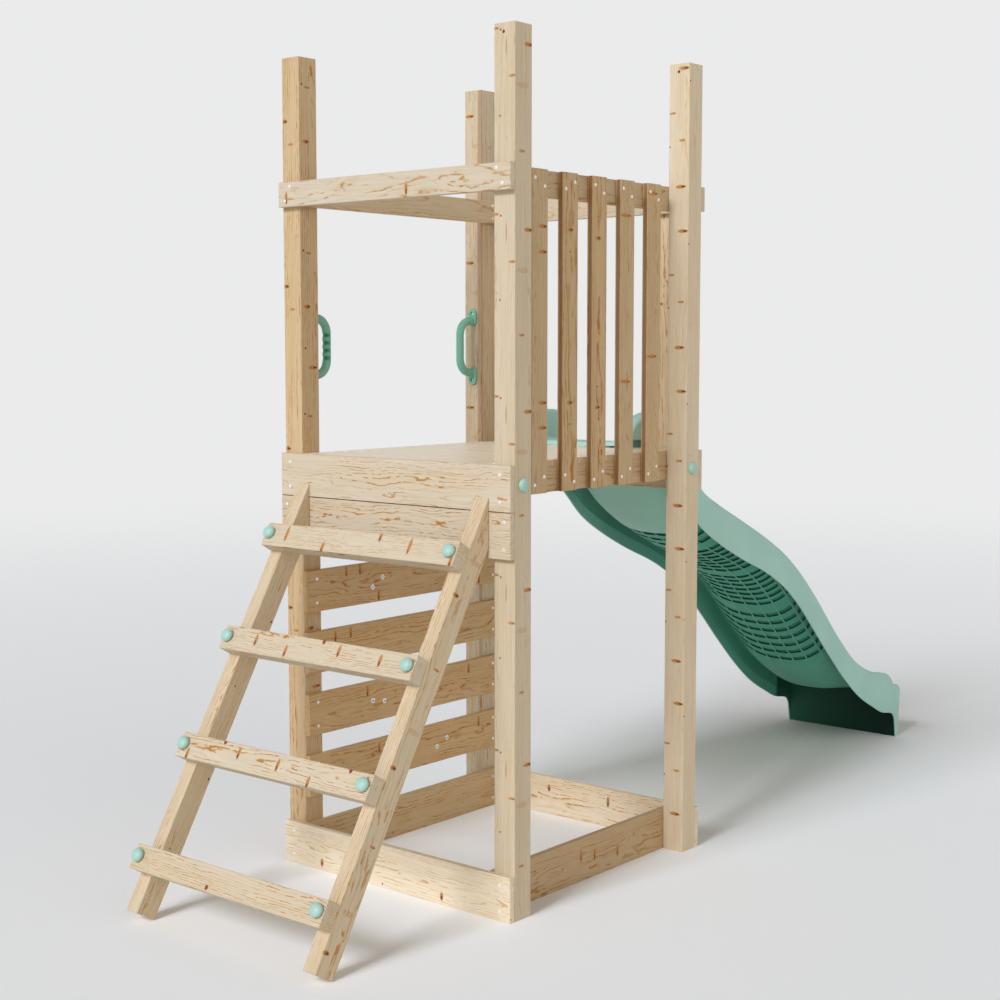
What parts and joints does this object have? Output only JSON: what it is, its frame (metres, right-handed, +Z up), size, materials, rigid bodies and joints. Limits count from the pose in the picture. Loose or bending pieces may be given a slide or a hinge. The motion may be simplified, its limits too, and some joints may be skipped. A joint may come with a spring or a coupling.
{
  "type": "play tower with slide",
  "caption": "Timber play tower with a raised deck, sloping ladder, climbing wall, slatted fence, grab handles and a moulded wave slide.",
  "frame": {"origin": "on the ground at the middle of the whole object's footprint", "axes": "+Z up, +X down the slide away from the ladder, +Y towards the climbing wall"},
  "size_m": [3.2418, 0.8776, 2.313],
  "materials": {
    "spruce": "planed, untreated spruce",
    "slide_plastic": "satin moulded plastic",
    "handle_plastic": "satin moulded plastic",
    "cap_plastic": "satin moulded plastic",
    "hold_plastic": "lightly grained moulded plastic"
  },
  "bodies": {
    "root": {"climbing_hold_1": "hold_plastic", "climbing_hold_2": "hold_plastic", "climbing_hold_4": "hold_plastic", "deck_bearer_fence": "spruce", "deck_bearer_wall": "spruce", "deck_board_1": "spruce", "deck_board_2": "spruce", "deck_board_3": "spruce", "deck_board_4": "spruce", "deck_board_5": "spruce", "deck_board_6": "spruce", "deck_board_7": "spruce", "deck_bolt_ladder_fence": "cap_plastic", "deck_bolt_ladder_wall": "cap_plastic", "deck_bolt_slide_fence": "cap_plastic", "deck_bolt_slide_wall": "cap_plastic", "fascia_ladder_lower": "spruce", "fascia_ladder_upper": "spruce", "fascia_slide": "spruce", "fence_slat_1": "spruce", "fence_slat_2": "spruce", "fence_slat_3": "spruce", "fence_slat_4": "spruce", "fence_slat_5": "spruce", "ground_board_fence": "spruce", "ground_board_ladder": "spruce", "ground_board_slide": "spruce", "ground_board_wall": "spruce", "guard_board_fence": "spruce", "guard_board_wall": "spruce", "handle_ladder": "handle_plastic", "handle_slide": "handle_plastic", "ladder_bolt_1_fence": "cap_plastic", "ladder_bolt_1_wall": "cap_plastic", "ladder_bolt_2_fence": "cap_plastic", "ladder_bolt_2_wall": "cap_plastic", "ladder_bolt_3_fence": "cap_plastic", "ladder_bolt_3_wall": "cap_plastic", "ladder_bolt_4_fence": "cap_plastic", "ladder_bolt_4_wall": "cap_plastic", "ladder_rail_fence": "spruce", "ladder_rail_wall": "spruce", "ladder_rung_1": "spruce", "ladder_rung_2": "spruce", "ladder_rung_3": "spruce", "ladder_rung_4": "spruce", "post_ladder_fence": "spruce", "post_ladder_wall": "spruce", "post_slide_fence": "spruce", "post_slide_wall": "spruce", "slide": "slide_plastic", "top_rail_fence": "spruce", "top_rail_ladder": "spruce", "top_rail_slide": "spruce", "top_rail_wall": "spruce", "wall_board_1": "spruce", "wall_board_2": "spruce", "wall_board_3": "spruce", "wall_board_4": "spruce", "wall_board_5": "spruce"}
  },
  "joints": []
}
